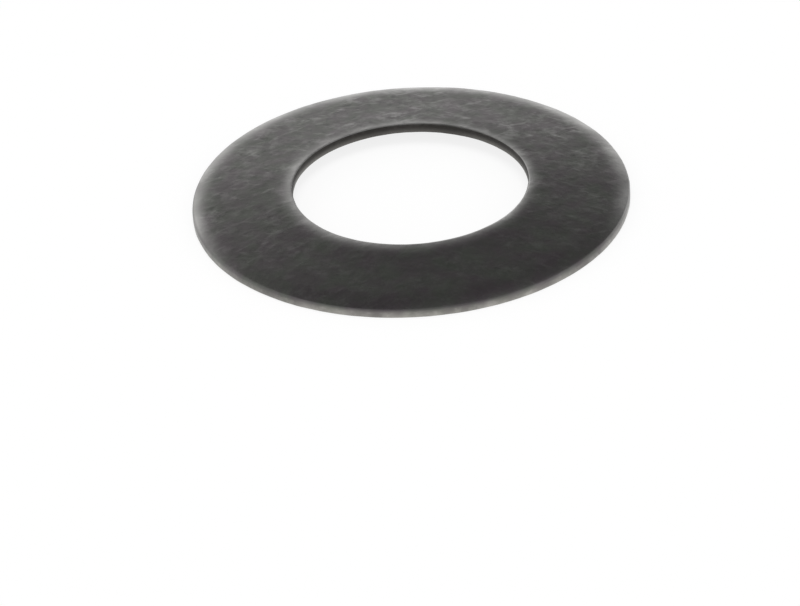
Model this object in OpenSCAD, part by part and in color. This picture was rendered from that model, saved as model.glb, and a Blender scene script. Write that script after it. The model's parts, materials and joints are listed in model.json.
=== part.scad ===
// Disc spring: one conical ring of spring steel, blanked from strip and cold formed.
// The bore edge stands proud, and the ring rests on the outer edge of its underside.
// Both edges of the upper face carry the soft roll-off that blanking and tumbling leave.
// Origin: centre of the seat circle, on the surface that the spring rests on.
// +Z runs along the bore, towards the raised edge. All sizes are in millimetres.

/* [Ring] */
// Outside diameter, over the rim wall
outer_d = 38; // [34:0.5:50]
// Inside diameter, in the bore wall
bore_d = 20.4; // [14:0.1:22.4]

/* [Section] */
// Thickness of the strip, square to its faces
strip_t = 1; // [0.8:0.05:1.6]
// Free cone height, which is the overall height less the strip thickness
cone_h = 1; // [0.4:0.05:2]

/* [Outer edge] */
// Width of the rolled-off band of the upper face, along the face
rim_roll_w = 2.2; // [0.8:0.1:2.4]
// Drop of that band below the straight face, at the rim wall
rim_roll_drop = 0.2; // [0.04:0.01:0.3]
// Radius of the corner between that band and the rim wall
rim_corner_r = 0.16; // [0.06:0.01:0.22]
// Radius of the seat edge, between the rim wall and the underside
seat_r = 0.1; // [0.04:0.01:0.18]

/* [Bore edge] */
// Width of the rolled-off band of the upper face, along the face
bore_roll_w = 1.6; // [0.8:0.1:2.4]
// Drop of that band below the straight face, at the bore wall
bore_roll_drop = 0.12; // [0.04:0.01:0.3]
// Radius of the corner between that band and the bore wall
bore_corner_r = 0.16; // [0.06:0.01:0.22]
// Radius of the corner between the bore wall and the underside
bore_under_r = 0.12; // [0.04:0.01:0.18]

/* [Hidden] */

STEEL_COLOUR = [0.3, 0.295, 0.295];

// Segments round the ring, round an arc of a rolled-off band's radius and round a corner's
RING_FN = 180;
ROLL_FN = 480;
CORNER_FN = 48;

// Each straight face lies this far inside the arcs that end it, so that every arc
// crosses its neighbours at a clean point, and none touches them along a sliver
SEAM = 0.0002;
// How far a rolled-off band's own shape reaches into the body behind it
LAP = 0.2;
// Rounds of the cone angle's calculation, each of which takes most of the error away
ANGLE_ROUNDS = 16;

outer_r = outer_d / 2;
bore_r = bore_d / 2;
ring_w = outer_r - bore_r;
free_h = strip_t + cone_h;

// Radius of an arc that leaves a straight line and drops from it by d over a width w
function roll_r(w, d) = (w * w + d * d) / (2 * d);

rim_roll_r = roll_r(rim_roll_w, rim_roll_drop);
bore_roll_r = roll_r(bore_roll_w, bore_roll_drop);

// In what follows a point is [distance from the axis, height], and a is the cone angle.

// Unit vector square to the two faces, pointing up
function face_n(a) = [sin(a), cos(a)];

// Height of the underside, and of the straight upper face, at distance x
function under_z(x, a) = seat_r * (1 - cos(a)) + (outer_r - seat_r * (1 + sin(a)) - x) * tan(a);
function upper_z(x, a) = under_z(x, a) + strip_t / cos(a);

// Where each rolled-off band leaves the straight upper face
function rim_roll_x(a) = outer_r - rim_roll_w * cos(a) + rim_roll_drop * sin(a);
function bore_roll_x(a) = bore_r + bore_roll_w * cos(a) + bore_roll_drop * sin(a);

// Centre of the arc of radius r that leaves the straight upper face at distance x
function roll_c(x, r, a) = [x, upper_z(x, a)] - r * face_n(a);

// Centre, at distance x, of a corner of radius r that fits inside a larger arc about c
function corner_c(x, r, c, roll) = [x, c[1] + sqrt(pow(roll + SEAM - r, 2) - pow(x - c[0], 2))];

function bore_roll_c(a) = roll_c(bore_roll_x(a), bore_roll_r, a);
function bore_corner_c(a) =
    corner_c(bore_r + bore_corner_r, bore_corner_r, bore_roll_c(a), bore_roll_r);

// Height of the crown, where the upper face is level: on the bore's rolled-off band if that
// band turns far enough, and otherwise on its corner
function crown_z(a) =
    bore_corner_c(a)[0] < bore_roll_c(a)[0]
        ? bore_roll_c(a)[1] + bore_roll_r
        : bore_corner_c(a)[1] + bore_corner_r;

// The cone angle at which the crown stands at the free height
function cone_angle(a, rounds) =
    rounds < 1 ? a : cone_angle(a + atan((free_h - crown_z(a)) / ring_w), rounds - 1);

cone_a = cone_angle(atan(cone_h / ring_w), ANGLE_ROUNDS);
up = face_n(cone_a);

rim_roll = roll_c(rim_roll_x(cone_a), rim_roll_r, cone_a);
rim_corner = corner_c(outer_r - rim_corner_r, rim_corner_r, rim_roll, rim_roll_r);
seat_corner = [outer_r - seat_r, seat_r];
bore_roll = bore_roll_c(cone_a);
bore_corner = bore_corner_c(cone_a);
under_corner = [
    bore_r + bore_under_r,
    under_z(bore_r + bore_under_r, cone_a) + bore_under_r / cos(cone_a)
];

// The point on the arc of radius r about c that lies beyond the point p
function arc_point(c, r, p) = c + r * (p - c) / norm(p - c);

module corner(c, r) {
    translate(c) circle(r = r, $fn = CORNER_FN);
}

// A rolled-off band: the part of a disc of radius r about c from just before the straight
// face's end to the corner about k
module roll_band(c, r, k) {
    start = c + r * up;
    end = arc_point(c, r, k);
    back = LAP * (start - end) / norm(start - end);
    end_up = (end - c) / r;
    intersection() {
        translate(c) circle(r = r, $fn = ROLL_FN);
        polygon([
            start + back - LAP * up,
            start + back + LAP * up,
            end + LAP * end_up,
            end - LAP * end_up
        ]);
    }
}

// The straight faces and what lies between them, with every vertex inside a corner or a band
module core() {
    polygon([
        seat_corner - (seat_r - SEAM) * up,
        [outer_r - SEAM, seat_corner[1]],
        [outer_r - SEAM, rim_corner[1]],
        arc_point(rim_roll, rim_roll_r - SEAM, rim_corner),
        rim_roll + (rim_roll_r - SEAM) * up,
        bore_roll + (bore_roll_r - SEAM) * up,
        arc_point(bore_roll, bore_roll_r - SEAM, bore_corner),
        [bore_r + SEAM, bore_corner[1]],
        [bore_r + SEAM, under_corner[1]],
        under_corner - (bore_under_r - SEAM) * up
    ]);
}

// One side of the ring's cross-section
module section() {
    core();
    roll_band(rim_roll, rim_roll_r, rim_corner);
    roll_band(bore_roll, bore_roll_r, bore_corner);
    corner(rim_corner, rim_corner_r);
    corner(seat_corner, seat_r);
    corner(bore_corner, bore_corner_r);
    corner(under_corner, bore_under_r);
}

module disc_spring() {
    color(STEEL_COLOUR) rotate_extrude($fn = RING_FN) section();
}

disc_spring();
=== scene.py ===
"""The looks of a disc spring: one dark phosphated ring with rolled-off edges, on a white floor.

The ring's section follows the construction's own dimensions, and its small unevenness is real
geometry. Lengths are in metres, except where a name ends in MM. A bearing is an angle round the
ring's axis, anticlockwise from X as seen from above, and the camera stands at -Y.
"""

import json
import math

import bpy
import numpy as np
from mathutils import Matrix, Vector, noise


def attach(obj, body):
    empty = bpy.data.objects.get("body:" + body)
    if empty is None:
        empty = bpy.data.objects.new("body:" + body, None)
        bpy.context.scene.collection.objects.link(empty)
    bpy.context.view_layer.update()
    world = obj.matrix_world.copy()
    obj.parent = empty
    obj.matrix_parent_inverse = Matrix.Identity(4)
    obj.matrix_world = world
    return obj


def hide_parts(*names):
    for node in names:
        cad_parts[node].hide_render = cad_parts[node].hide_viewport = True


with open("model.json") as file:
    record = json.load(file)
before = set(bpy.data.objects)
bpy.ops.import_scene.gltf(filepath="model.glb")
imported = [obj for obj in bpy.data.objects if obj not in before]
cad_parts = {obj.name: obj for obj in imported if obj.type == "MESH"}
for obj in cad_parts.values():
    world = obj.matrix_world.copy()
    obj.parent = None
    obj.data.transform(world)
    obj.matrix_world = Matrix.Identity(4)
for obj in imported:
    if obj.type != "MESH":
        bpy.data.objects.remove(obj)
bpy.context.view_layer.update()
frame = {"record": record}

MM = 0.001
SPRING_NODE = "disc_spring"
BODY = "root"

# ---------------------------------------------------------------- dimensions of the section, in mm
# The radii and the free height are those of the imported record's mounts
MOUNTS = {mount["name"]: mount for mount in frame["record"]["mounts"]}
OUTER_R_MM = MOUNTS["rim"]["dims"]["r_mm"]
BORE_R_MM = MOUNTS["bore"]["dims"]["r_mm"]
FREE_H_MM = MOUNTS["load_edge"]["pos_m"][2] / MM
STRIP_T_MM = 1.0
RIM_ROLL_W_MM = 2.2
RIM_ROLL_DROP_MM = 0.2
RIM_CORNER_R_MM = 0.16
SEAT_R_MM = 0.1
BORE_ROLL_W_MM = 1.6
BORE_ROLL_DROP_MM = 0.12
BORE_CORNER_R_MM = 0.16
BORE_UNDER_R_MM = 0.12
# The cone angle is found by repeated correction, which this many rounds settle
ANGLE_ROUNDS = 16

# ---------------------------------------------------------------- the mesh
STEPS_ROUND = 900
FACE_STEPS = 30
ROLL_STEPS = 12
CORNER_STEPS = 6
WALL_STEPS = 4
UNDER_STEPS = 14

# ---------------------------------------------------------------- the surface's unevenness
# Each entry is the size of the dents and their depth, both in mm
DENTS_MM = [(3.6, 0.030), (1.7, 0.016), (0.9, 0.0095), (0.5, 0.005)]
# Where the noise is read for the first dents, and how much further on for each next size
DENTS_START = Vector((0.0, 5.0, 3.0))
DENTS_STRIDE = Vector((17.0, 0.0, 0.0))
# Tumbling has eased the rim's upper corner, most of all round two bearings
EASED_CORNER_R_MM = 0.2
EXTRA_CORNER_R_MM = 0.15
ROUNDER_BEARINGS = [math.radians(205), math.radians(318)]
ROUNDER_SPREAD = math.radians(38)
# Where the noise is read for slow changes over the surface, and how strongly
PATCHES_START = Vector((3.0, 41.0, 9.0))
PATCHES_STRENGTH = 0.9

# ---------------------------------------------------------------- where the coat is rubbed through
# A wear is the share of steel that is bare. Patches are the size of slow changes in mm, then the
# least and the most that they multiply by
WEAR_PATCHES = (2.6, 0.7, 1.3)
# The worn bands reach in from the bore edge and the rim by these shares of the ring's width, and a
# little further towards one bearing each. The greater the power, the sharper a band's inner border
BORE_WEAR_REACH = 0.072
RIM_WEAR_REACH = 0.105
REACH_SWING = 0.2
WIDE_BORE_BEARING = math.radians(180)
WIDE_RIM_BEARING = math.radians(72)
BORE_WEAR_FADE = 1.6
RIM_WEAR_FADE = 2
# Round one bearing the bore edge has kept more of its coat, and its band is wider there
BORE_WEAR = 0.92
COATED_BORE_BEARING = math.radians(268)
COATED_BORE_SPREAD = math.radians(22)
COATED_BORE_LOSS = 0.56
COATED_BORE_WIDENING = 0.35
# The rim is worn on the far side, most on its right and less at the back and round one bearing. The
# near side has kept its coat: the change lies between these sines of the bearing
RIM_WEAR = 0.85
RIM_WEAR_MORE_RIGHT = 0.12
RIM_WEAR_LESS_BACK = 0.06
COATED_RIM_BEARING = math.radians(64)
COATED_RIM_SPREAD = math.radians(20)
COATED_RIM_LOSS = 0.25
RIM_WEAR_NEAR = 0.05
NEAR_TO_FAR_SINES = (-0.57, -0.07)
# The rim wall gets barer towards its foot, and on two opposite sides
RIM_WALL_WEAR = 0.43
RIM_WALL_SWING = 0.2
BARE_WALL_BEARING = math.radians(285)
RIM_WALL_PATCHES = (0.9, 0.8, 1.2)
RIM_WALL_FADE = 0.9
# The bore's upper corner is worn where it faces up, between these levels: 1 looks straight up
BORE_CORNER_WEAR = 0.8
BORE_CORNER_LEVELS = (0.7, 0.97)
# The bore wall's wear sets in at the first height and is full at the second, and is greater on the
# left and right than in front and behind
BORE_WALL_WEAR = 0.23
BORE_WALL_SWING = 0.1
BORE_WALL_HEIGHTS_MM = (1.75, 1.1)
# The sheared bore wall's matte skin gives way to the face's between these levels
MATTE_LEVELS = (0.4, 0.9)

# ---------------------------------------------------------------- the coat's grain
# How strongly it shows on the face's near side and on the rim wall, against the face's far side
GRAIN_NEAR = 0.25
GRAIN_ON_RIM_WALL = 0.7
# How strongly it shows on the bore wall and elsewhere off the face, against the face at that bearing
GRAIN_ON_BORE_WALL = 0.08
GRAIN_ELSEWHERE = 0.3
GRAIN_PATCHES = (2.4, 0.45, 1.55)
# Short scratches run along these bearings, and are this many times as long as they are wide
SCRATCH_BEARINGS = [math.radians(28), math.radians(-22)]
SCRATCH_STRETCH = 3.0

# ---------------------------------------------------------------- the steel's skin
# Each noise is its cells per metre, its detail and its roughness. Each list of stops turns a noise
# or an attribute into colours, shares or roughnesses
ROUGHENING = (2000, 3, 0.5)
ROUGHENING_DEPTH = 1.4e-5
BLOTCHES = (420, 2, 0.5)
COAT_COLOURS = [(0.38, (0.0200, 0.0174, 0.0188)), (0.62, (0.0182, 0.0196, 0.0172))]
COAT_ROUGHNESSES = [(0.3, 0.29), (0.7, 0.36)]
COAT_IOR = 1.61
CASTS = (600, 1, 0.5)
CAST_COLOURS = [(0.38, (1.0, 0.87, 0.94)), (0.5, (1.0, 0.97, 0.94)), (0.62, (0.92, 1.0, 0.85))]
PITS = (1400, 3, 0.5)
PIT_REFLECTIONS = [(0.36, 0.5), (0.45, 1.0)]
GRAINS = (900, 6, 0.62)
GRAIN_SHARES = [(0.5, 0.0), (0.65, 0.16)]
STROKES = (1900, 1, 0.5)
STROKE_SHARES = [(0.6, 0.0), (0.75, 0.15)]
STROKE_DEPTH = 1.6e-5
SHEARED_COLOUR = (0.0185, 0.0162, 0.0140, 1)
SHEARED_ROUGHNESS = 0.6
SHEARED_IOR = 1.35
# Bare steel on the rubbed edges of the face, and on the walls, where it has a warmer tone
BRIGHT_COLOURS = [(0.3, (0.53, 0.527, 0.522)), (1.0, (0.545, 0.530, 0.493))]
BRIGHT_ROUGHNESS = 0.33

# ---------------------------------------------------------------- the floor
FLOOR_HALF_WIDTH = 1.5
FLOOR_WHITE = 0.95
# Share of true shading that the white floor keeps for the camera and for reflections
FLOOR_SHADING = 0.17

# ---------------------------------------------------------------- the light
# Brightness of the room beyond the ring against height: white walls, dark above, and a dim ceiling
SKY = [
    (0.0, (1.0, 0.995, 0.98)),
    (0.2, (1.0, 0.995, 0.98)),
    (0.35, (0.98, 0.975, 0.96)),
    (0.5, (0.50, 0.497, 0.49)),
    (0.65, 0.24),
    (0.78, 0.08),
    (0.88, 0.10),
    (1.0, 0.45),
]
# The walls reach higher on the left by this much of a direction's X
SKY_TILT = 0.55
# A broad screen fills the room behind the camera, and there is a soft light to the left and right.
# An edge gives a direction's Y or X where the screen or a light sets in, and where it is full
SCREEN_LEVEL = 0.8
SCREEN_EDGE = (-0.15, -0.5)
LEFT_LEVEL = 1.1
RIGHT_LEVEL = 1.1
SIDE_EDGE = (0.62, 0.8)
# What the camera itself sees beyond the floor is plain white
BACKDROP_LEVEL = 1.0
# A soft lamp hangs overhead, and the steel's reflections leave it out
LAMP_W = 3.0
LAMP_RADIUS = 0.3
LAMP_HEIGHT = 0.8

# ---------------------------------------------------------------- the camera
IMAGE_W = 800
FOCAL_PX = 5256.0
SENSOR_W_MM = 36.0
CAMERA_DISTANCE = 0.456
CAMERA_ELEVATION = math.radians(31.64)
CAMERA_ROLL = math.radians(3.51)
CAMERA_CLIP = (0.01, 20)
# Where the ring's origin lies from the middle of the image, right and up
RING_RIGHT_PX = 11.4
RING_UP_PX = 100.6


# ================================================================ the ring's shape
def roll_radius(width, drop):
    """Radius of an arc that leaves a straight line and drops from it by `drop` over `width`."""
    return (width * width + drop * drop) / (2 * drop)


RIM_ROLL_R_MM = roll_radius(RIM_ROLL_W_MM, RIM_ROLL_DROP_MM)
BORE_ROLL_R_MM = roll_radius(BORE_ROLL_W_MM, BORE_ROLL_DROP_MM)


class Section:
    """The ring's cross-section at cone angle a: arc centres as (distance from the axis, height) in mm."""

    def __init__(self, a, rim_corner_r=RIM_CORNER_R_MM):
        self.a = a
        self.rim_corner_r = rim_corner_r
        self.up = np.array([math.sin(a), math.cos(a)])
        rim_x = OUTER_R_MM - RIM_ROLL_W_MM * math.cos(a) + RIM_ROLL_DROP_MM * math.sin(a)
        bore_x = BORE_R_MM + BORE_ROLL_W_MM * math.cos(a) + BORE_ROLL_DROP_MM * math.sin(a)
        self.rim_roll = self.roll_centre(rim_x, RIM_ROLL_R_MM)
        self.bore_roll = self.roll_centre(bore_x, BORE_ROLL_R_MM)
        self.rim_corner = self.corner_centre(
            OUTER_R_MM - rim_corner_r, rim_corner_r, self.rim_roll, RIM_ROLL_R_MM
        )
        self.bore_corner = self.corner_centre(
            BORE_R_MM + BORE_CORNER_R_MM, BORE_CORNER_R_MM, self.bore_roll, BORE_ROLL_R_MM
        )
        self.seat_corner = np.array([OUTER_R_MM - SEAT_R_MM, SEAT_R_MM])
        under_x = BORE_R_MM + BORE_UNDER_R_MM
        self.under_corner = np.array([under_x, self.under_z(under_x) + BORE_UNDER_R_MM / math.cos(a)])

    def under_z(self, x):
        """Height of the underside's straight line at a distance x from the axis."""
        a = self.a
        return SEAT_R_MM * (1 - math.cos(a)) + (OUTER_R_MM - SEAT_R_MM * (1 + math.sin(a)) - x) * math.tan(a)

    def roll_centre(self, x, r):
        """Centre of an arc of radius r that touches the upper face's straight line from below at x."""
        upper = self.under_z(x) + STRIP_T_MM / math.cos(self.a)
        return np.array([x, upper]) - r * self.up

    @staticmethod
    def corner_centre(x, r, roll, roll_r):
        """Centre, at x, of a corner of radius r that touches a rolled-off band from inside."""
        return np.array([x, roll[1] + math.sqrt((roll_r - r) ** 2 - (x - roll[0]) ** 2)])

    def crown_z(self):
        """Height of the ring's highest point, on the band or on the corner by the bore."""
        if self.bore_corner[0] < self.bore_roll[0]:
            return self.bore_roll[1] + BORE_ROLL_R_MM
        return self.bore_corner[1] + BORE_CORNER_R_MM


def solved_angle():
    """The cone angle at which the crown stands at the free height."""
    width = OUTER_R_MM - BORE_R_MM
    a = math.atan((FREE_H_MM - STRIP_T_MM) / width)
    for _ in range(ANGLE_ROUNDS):
        a += math.atan((FREE_H_MM - Section(a).crown_z()) / width)
    return a


def heading(v):
    """Angle of a direction in the section, from the outward radial."""
    return math.atan2(v[1], v[0])


def profile(s):
    """Points round the section, anticlockwise from the underside's inner end, and each point's zone."""
    points, zones = [], []

    def arc(centre, r, start, end, steps, zone):
        for i in range(steps):
            t = start + (end - start) * i / steps
            points.append(centre + r * np.array([math.cos(t), math.sin(t)]))
            zones.append(zone)

    def line(p, q, steps, zone):
        for i in range(steps):
            points.append(p + (q - p) * i / steps)
            zones.append(zone)

    up = heading(s.up)
    down = up - math.pi
    rim_end = heading(s.rim_corner - s.rim_roll)
    bore_end = heading(s.bore_corner - s.bore_roll)
    rim_low = np.array([OUTER_R_MM, s.seat_corner[1]])
    rim_high = np.array([OUTER_R_MM, s.rim_corner[1]])
    bore_high = np.array([BORE_R_MM, s.bore_corner[1]])
    bore_low = np.array([BORE_R_MM, s.under_corner[1]])
    line(s.under_corner - BORE_UNDER_R_MM * s.up, s.seat_corner - SEAT_R_MM * s.up, UNDER_STEPS, "under")
    arc(s.seat_corner, SEAT_R_MM, down, 0, CORNER_STEPS, "seat")
    line(rim_low, rim_high, WALL_STEPS, "rim_wall")
    arc(s.rim_corner, s.rim_corner_r, 0, rim_end, CORNER_STEPS, "rim_corner")
    arc(s.rim_roll, RIM_ROLL_R_MM, rim_end, up, ROLL_STEPS, "face")
    line(s.rim_roll + RIM_ROLL_R_MM * s.up, s.bore_roll + BORE_ROLL_R_MM * s.up, FACE_STEPS, "face")
    arc(s.bore_roll, BORE_ROLL_R_MM, up, bore_end, ROLL_STEPS, "face")
    arc(s.bore_corner, BORE_CORNER_R_MM, bore_end, math.pi, CORNER_STEPS, "bore_corner")
    line(bore_high, bore_low, WALL_STEPS, "bore_wall")
    arc(s.under_corner, BORE_UNDER_R_MM, math.pi, 2 * math.pi + down, CORNER_STEPS, "bore_under")
    return np.array(points), zones


def dent_depth(p):
    """Depth in mm of the dents at a point p in mm: nowhere below nought, so nothing stands proud."""
    depth = 0.0
    for k, (size, deep) in enumerate(DENTS_MM):
        depth += deep * abs(noise.noise(p / size + DENTS_START + k * DENTS_STRIDE))
    return depth


def soft_step(value, low, high):
    """0 up to `low`, 1 from `high` on, and a smooth rise between. `low` may be the greater number."""
    t = min(max((value - low) / (high - low), 0.0), 1.0)
    return t * t * (3 - 2 * t)


def nearness(turn, bearing, spread):
    """1 at a bearing, falling smoothly to nothing a few spreads away from it on either side."""
    off = math.remainder(turn - bearing, 2 * math.pi) / spread
    return math.exp(-off * off)


def patchiness(p, size, least, most):
    """A slow wavering between two values over the surface, at a point p in mm."""
    share = 0.5 + PATCHES_STRENGTH * noise.noise(p / size + PATCHES_START)
    return least + (most - least) * min(max(share, 0.0), 1.0)


def rim_corner_radius(turn):
    """Radius in mm of the rim's upper corner, as tumbling left it at a bearing."""
    extra = sum(nearness(turn, bearing, ROUNDER_SPREAD) for bearing in ROUNDER_BEARINGS)
    return EASED_CORNER_R_MM + EXTRA_CORNER_R_MM * extra


# ================================================================ what the skin is like at each point
def bore_edge_coat(turn):
    """1 at the bearing where the bore edge has kept most of its coat, and 0 well away from it."""
    return nearness(turn, COATED_BORE_BEARING, COATED_BORE_SPREAD)


def bore_edge_share(turn):
    """How much of the bore edge's usual wear there is at a bearing."""
    return 1 - COATED_BORE_LOSS * bore_edge_coat(turn)


def rim_edge_wear(turn):
    """How bare the rim's edge is at a bearing."""
    far = RIM_WEAR + RIM_WEAR_MORE_RIGHT * math.cos(turn) - RIM_WEAR_LESS_BACK * max(math.sin(turn), 0.0)
    far -= COATED_RIM_LOSS * nearness(turn, COATED_RIM_BEARING, COATED_RIM_SPREAD)
    return RIM_WEAR_NEAR + (far - RIM_WEAR_NEAR) * soft_step(math.sin(turn), *NEAR_TO_FAR_SINES)


def face_wear(share, turn):
    """Wear of the upper face, where `share` runs across it from the bore to the rim."""
    rim_reach = RIM_WEAR_REACH * (1 + REACH_SWING * math.cos(turn - WIDE_RIM_BEARING))
    bore_swing = REACH_SWING * math.cos(turn - WIDE_BORE_BEARING)
    bore_reach = BORE_WEAR_REACH * (1 + bore_swing + COATED_BORE_WIDENING * bore_edge_coat(turn))
    bore = BORE_WEAR * bore_edge_share(turn) * math.exp(-((share / bore_reach) ** BORE_WEAR_FADE))
    rim = rim_edge_wear(turn) * math.exp(-(((1 - share) / rim_reach) ** RIM_WEAR_FADE))
    return bore + rim


def rim_wall_wear(turn, p, down):
    """Wear of the rim wall, where `down` runs from its top to the floor."""
    most = RIM_WALL_WEAR * (1 + RIM_WALL_SWING * math.cos(2 * (turn - BARE_WALL_BEARING)))
    return most * patchiness(p, *RIM_WALL_PATCHES) * down ** RIM_WALL_FADE


def wear_at(zone, share, turn, level, p, rim_top):
    """How far the coat is rubbed through to bright steel, 0 to 1.

    `share` runs across the face from bore to rim, and `level` is 1 where the surface looks
    straight up and 0 where it stands upright.
    """
    if zone == "face":
        worn = face_wear(share, turn)
    elif zone in ("rim_wall", "seat", "rim_corner"):
        down = min(max(1 - p.z / rim_top, 0.0), 1.0)
        edge = level ** 2
        worn = edge * rim_edge_wear(turn) + (1 - edge) * rim_wall_wear(turn, p, down)
    elif zone == "bore_corner":
        worn = BORE_CORNER_WEAR * bore_edge_share(turn) * soft_step(level, *BORE_CORNER_LEVELS)
    elif zone in ("bore_wall", "bore_under"):
        most = BORE_WALL_WEAR + BORE_WALL_SWING * math.cos(2 * turn)
        worn = most * soft_step(p.z, *BORE_WALL_HEIGHTS_MM)
    else:
        worn = 0.0
    return min(worn * patchiness(p, *WEAR_PATCHES), 1.0)


def matte_at(zone, level):
    """1 on the sheared bore wall and the underside, 0 on the tumbled surfaces."""
    if zone == "bore_corner":
        return 1 - soft_step(level, *MATTE_LEVELS)
    return 1.0 if zone in ("bore_wall", "bore_under", "under") else 0.0


def grain_at(zone, turn, p):
    """How strongly the fine grain shows: most on the far side of the face, and little on the bore wall."""
    if zone == "rim_wall":
        return GRAIN_ON_RIM_WALL
    far = 0.5 + 0.5 * math.sin(turn)
    most = (GRAIN_NEAR + (1 - GRAIN_NEAR) * far) * patchiness(p, *GRAIN_PATCHES)
    if zone == "face":
        return most
    return most * (GRAIN_ON_BORE_WALL if zone in ("bore_wall", "bore_under") else GRAIN_ELSEWHERE)


# ================================================================ the ring's mesh
def outward_normals(points):
    """Unit normals of a closed section at its points, which run anticlockwise."""
    along = np.roll(points, -1, axis=0) - np.roll(points, 1, axis=0)
    normals = np.stack([along[:, 1], -along[:, 0]], axis=1)
    return normals / np.linalg.norm(normals, axis=1)[:, None]


def ring_faces(n):
    """The four corners of each face between neighbouring sections of n points."""
    i = np.arange(STEPS_ROUND)[:, None]
    j = np.arange(n)[None, :]
    i2, j2 = (i + 1) % STEPS_ROUND, (j + 1) % n
    corners = [i * n + j, i2 * n + j, i2 * n + j2, i * n + j2]
    return np.stack(corners, axis=2).reshape(-1, len(corners)).tolist()


def build_ring():
    """The ring, its section turned round the axis, with the skin's four attributes on its points."""
    a = solved_angle()
    width = OUTER_R_MM - BORE_R_MM
    verts, wear, matte, grain, upright = [], [], [], [], []
    for k in range(STEPS_ROUND):
        turn = 2 * math.pi * k / STEPS_ROUND
        c, s = math.cos(turn), math.sin(turn)
        section = Section(a, rim_corner_radius(turn))
        rim_top = section.rim_corner[1] + section.rim_corner_r
        points, zones = profile(section)
        for (x, z), (nx, nz), zone in zip(points, outward_normals(points), zones):
            p = Vector((x * c, x * s, z))
            p -= dent_depth(p) * Vector((nx * c, nx * s, nz))
            verts.append(p * MM)
            level = max(nz, 0.0)
            wear.append(wear_at(zone, (x - BORE_R_MM) / width, turn, level, p, rim_top))
            matte.append(matte_at(zone, level))
            grain.append(grain_at(zone, turn, p))
            upright.append(1 - level)
    mesh = bpy.data.meshes.new("disc_spring_ring")
    mesh.from_pydata(verts, [], ring_faces(len(zones)))
    mesh.polygons.foreach_set("use_smooth", [True] * len(mesh.polygons))
    for name, values in (("wear", wear), ("matte", matte), ("grain", grain), ("upright", upright)):
        layer = mesh.attributes.new(name, "FLOAT", "POINT")
        layer.data.foreach_set("value", values)
    mesh.update()
    ring = bpy.data.objects.new("disc_spring_ring", mesh)
    bpy.context.collection.objects.link(ring)
    return ring


# ================================================================ materials
def grey(value):
    """A grey as the four numbers of a colour."""
    return (value, value, value, 1)


class Graph:
    """The nodes of a material or a world. A value given to a call may be a socket or a constant."""

    def __init__(self, owner):
        owner.use_nodes = True
        self.nodes = owner.node_tree.nodes
        self.links = owner.node_tree.links

    def fill(self, node, inputs):
        """Links or sets a node's inputs, each given by its name or its number."""
        for key, value in inputs.items():
            if isinstance(value, bpy.types.NodeSocket):
                self.links.new(value, node.inputs[key])
            else:
                node.inputs[key].default_value = value

    def add(self, kind, inputs=None, **settings):
        """A new node of a kind, with its settings made before its inputs."""
        node = self.nodes.new(kind)
        for name, value in settings.items():
            setattr(node, name, value)
        self.fill(node, inputs or {})
        return node

    def noise(self, place, kind):
        """A noise read at a place, of a kind that gives its scale, detail and roughness."""
        scale, detail, roughness = kind
        inputs = {"Vector": place, "Scale": scale, "Detail": detail, "Roughness": roughness}
        return self.add("ShaderNodeTexNoise", inputs).outputs["Fac"]

    def stretched(self, place, bearing):
        """Coordinates in which what is round comes out as a thin stroke that runs along a bearing."""
        inputs = {"Vector": place, "Rotation": (0, 0, bearing), "Scale": (SCRATCH_STRETCH, 1, 1)}
        return self.add("ShaderNodeMapping", inputs, vector_type="TEXTURE").outputs["Vector"]

    def ramp(self, factor, stops):
        """The colour at a factor on a ramp of (position, colour) stops, where a plain number is a grey."""
        node = self.add("ShaderNodeValToRGB", {"Fac": factor})
        elements = node.color_ramp.elements
        while len(elements) < len(stops):
            elements.new(0.5)
        for element, (position, colour) in zip(elements, stops):
            element.position = position
            element.color = grey(colour) if isinstance(colour, float) else (*colour, 1)
        return node.outputs["Color"]

    def attribute(self, name):
        return self.add("ShaderNodeAttribute", attribute_name=name).outputs["Fac"]

    def maths(self, operation, a, b):
        """Two values added or multiplied, and held between 0 and 1."""
        return self.add("ShaderNodeMath", {0: a, 1: b}, operation=operation, use_clamp=True).outputs["Value"]

    def bump(self, height, depth, under=None):
        """A normal that follows a height, this deep, on top of another normal if there is one."""
        inputs = {"Height": height, "Distance": depth, "Strength": 1.0}
        if under is not None:
            inputs["Normal"] = under
        return self.add("ShaderNodeBump", inputs).outputs["Normal"]

    def mixed(self, factor, a, b):
        """Shader a, giving way to shader b as the factor rises."""
        return self.add("ShaderNodeMixShader", {"Fac": factor, 1: a, 2: b}).outputs["Shader"]

    def mixed_colour(self, factor, a, b, blend="MIX"):
        """Colour a, giving way to b as the factor rises."""
        # The node's sockets for colours share their names with others, so they go by number
        factor_in, a_in, b_in, colour_out = 0, 6, 7, 2
        inputs = {factor_in: factor, a_in: a, b_in: b}
        return self.add("ShaderNodeMix", inputs, data_type="RGBA", blend_type=blend).outputs[colour_out]

    def rising(self, value, edge, side):
        """A soft step that rises from 0 to 1 as a value, taken on one side of nought, crosses an edge."""
        inputs = {"Value": value, "From Min": edge[0] * side, "From Max": edge[1] * side}
        return self.add("ShaderNodeMapRange", inputs, interpolation_type="SMOOTHSTEP").outputs["Result"]


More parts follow.
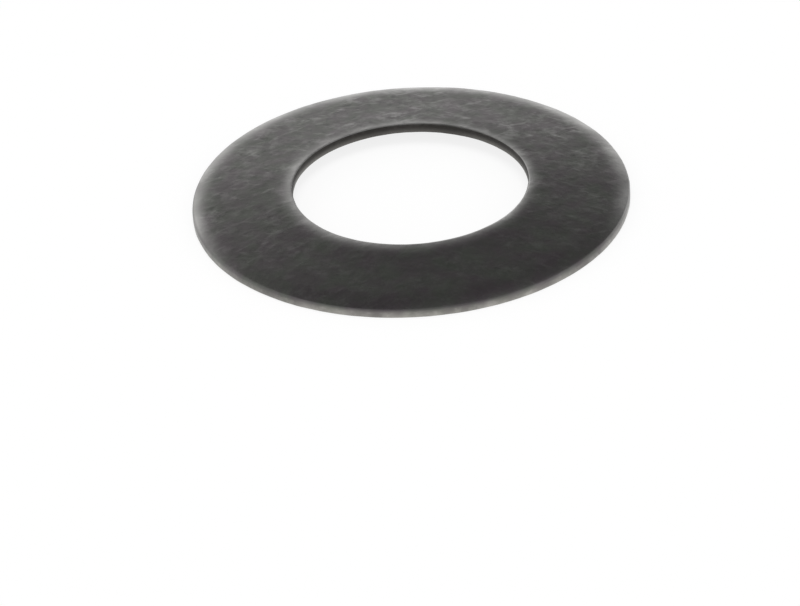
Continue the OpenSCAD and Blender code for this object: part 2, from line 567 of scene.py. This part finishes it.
def steel_material():
    """Dark phosphate coat, matte on the sheared bore wall, with bright steel where it is rubbed through."""
    mat = bpy.data.materials.new("phosphated_steel_skin")
    g = Graph(mat)
    place = g.add("ShaderNodeTexCoord").outputs["Object"]
    normal = g.bump(g.noise(place, ROUGHENING), ROUGHENING_DEPTH)

    # Steel shows through the coat in fine grains and along short scratches, which have an edge
    specks = g.ramp(g.noise(place, GRAINS), GRAIN_SHARES)
    for bearing in SCRATCH_BEARINGS:
        scratch = g.ramp(g.noise(g.stretched(place, bearing), STROKES), STROKE_SHARES)
        specks = g.maths("ADD", specks, scratch)
        normal = g.bump(scratch, STROKE_DEPTH, under=normal)
    specks = g.maths("MULTIPLY", specks, g.attribute("grain"))
    bare = g.maths("ADD", specks, g.attribute("wear"))

    # The coat's reflection has a slight cast, which changes from place to place, and fades in small pits
    blotches = g.noise(place, BLOTCHES)
    cast = g.ramp(g.noise(place, CASTS), CAST_COLOURS)
    pits = g.ramp(g.noise(place, PITS), PIT_REFLECTIONS)
    coat = g.nodes["Principled BSDF"]
    g.fill(coat, {
        "Base Color": g.ramp(blotches, COAT_COLOURS),
        "Roughness": g.ramp(blotches, COAT_ROUGHNESSES),
        "IOR": COAT_IOR,
        "Specular Tint": g.mixed_colour(g.attribute("grain"), cast, pits, blend="MULTIPLY"),
        "Normal": normal,
    })
    sheared = g.add("ShaderNodeBsdfPrincipled", {
        "Base Color": SHEARED_COLOUR,
        "Roughness": SHEARED_ROUGHNESS,
        "IOR": SHEARED_IOR,
        "Normal": normal,
    })
    bright = g.add("ShaderNodeBsdfPrincipled", {
        "Base Color": g.ramp(g.attribute("upright"), BRIGHT_COLOURS),
        "Metallic": 1.0,
        "Roughness": BRIGHT_ROUGHNESS,
        "Normal": normal,
    })
    body = g.mixed(g.attribute("matte"), coat.outputs["BSDF"], sheared.outputs["BSDF"])
    g.fill(g.nodes["Material Output"], {"Surface": g.mixed(bare, body, bright.outputs["BSDF"])})
    return mat


def floor_material():
    """A white floor whose shading is mostly washed out for the camera and for reflections."""
    mat = bpy.data.materials.new("white_floor")
    g = Graph(mat)
    paint = g.nodes["Principled BSDF"]
    g.fill(paint, {"Base Color": grey(FLOOR_WHITE), "Roughness": 1.0, "Specular IOR Level": 0.0})
    glow = g.add("ShaderNodeEmission", {"Strength": 1.0})
    path = g.add("ShaderNodeLightPath")
    seen = g.maths("ADD", path.outputs["Is Camera Ray"], path.outputs["Is Glossy Ray"])
    washed = g.maths("MULTIPLY", seen, 1 - FLOOR_SHADING)
    surface = g.mixed(washed, paint.outputs["BSDF"], glow.outputs["Emission"])
    g.fill(g.nodes["Material Output"], {"Surface": surface})
    return mat


# ================================================================ the stage
def build_floor():
    """A wide white floor, which is no part of the object."""
    mesh = bpy.data.meshes.new("floor")
    h = FLOOR_HALF_WIDTH
    mesh.from_pydata([(-h, -h, 0), (h, -h, 0), (h, h, 0), (-h, h, 0)], [], [(0, 1, 2, 3)])
    floor = bpy.data.objects.new("floor", mesh)
    bpy.context.collection.objects.link(floor)
    mesh.materials.append(floor_material())


def build_world():
    """The room round the ring: its walls, the screen behind the camera and the two side lights."""
    world = bpy.data.worlds.new("studio")
    bpy.context.scene.world = world
    g = Graph(world)
    direction = g.add("ShaderNodeTexCoord").outputs["Generated"]
    tilted_up = {0: direction, 1: (SKY_TILT, 0, 1)}
    height = g.add("ShaderNodeVectorMath", tilted_up, operation="DOT_PRODUCT").outputs["Value"]
    split = g.add("ShaderNodeSeparateXYZ", {"Vector": direction})
    path = g.add("ShaderNodeLightPath")

    room = g.ramp(height, SKY)
    room = g.mixed_colour(g.rising(split.outputs["Y"], SCREEN_EDGE, 1), room, grey(SCREEN_LEVEL))
    room = g.mixed_colour(g.rising(split.outputs["X"], SIDE_EDGE, -1), room, grey(LEFT_LEVEL))
    room = g.mixed_colour(g.rising(split.outputs["X"], SIDE_EDGE, 1), room, grey(RIGHT_LEVEL))
    room = g.mixed_colour(path.outputs["Is Camera Ray"], room, grey(BACKDROP_LEVEL))
    g.fill(g.nodes["Background"], {"Color": room})


def build_lamp():
    """A round soft lamp above the ring, which shines straight down."""
    lamp = bpy.data.lights.new("overhead", "AREA")
    lamp.shape = "DISK"
    lamp.size = 2 * LAMP_RADIUS
    lamp.energy = LAMP_W
    holder = bpy.data.objects.new("overhead", lamp)
    holder.location = (0, 0, LAMP_HEIGHT)
    holder.visible_glossy = False
    bpy.context.collection.objects.link(holder)


def build_camera():
    """The photo's own camera, looking along +Y and down, and rolled a little."""
    e, roll = CAMERA_ELEVATION, CAMERA_ROLL
    ahead = Vector((0, math.cos(e), -math.sin(e)))
    level_right = Vector((1, 0, 0))
    level_up = Vector((0, math.sin(e), math.cos(e)))
    right = math.cos(roll) * level_right - math.sin(roll) * level_up
    up = math.sin(roll) * level_right + math.cos(roll) * level_up
    per_px = CAMERA_DISTANCE / FOCAL_PX
    place = -RING_RIGHT_PX * per_px * right - RING_UP_PX * per_px * up - CAMERA_DISTANCE * ahead
    data = bpy.data.cameras.new("camera")
    data.sensor_width = SENSOR_W_MM
    data.lens = SENSOR_W_MM * FOCAL_PX / IMAGE_W
    data.clip_start, data.clip_end = CAMERA_CLIP
    camera = bpy.data.objects.new("camera", data)
    bpy.context.collection.objects.link(camera)
    turn = Matrix((right, up, -ahead)).transposed()
    camera.matrix_world = Matrix.Translation(place) @ turn.to_4x4()
    bpy.context.scene.camera = camera


build_camera()
ring = build_ring()
ring.data.materials.append(steel_material())
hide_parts(SPRING_NODE)
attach(ring, BODY)
build_floor()
build_world()
build_lamp()
bpy.context.scene.view_settings.view_transform = "Standard"
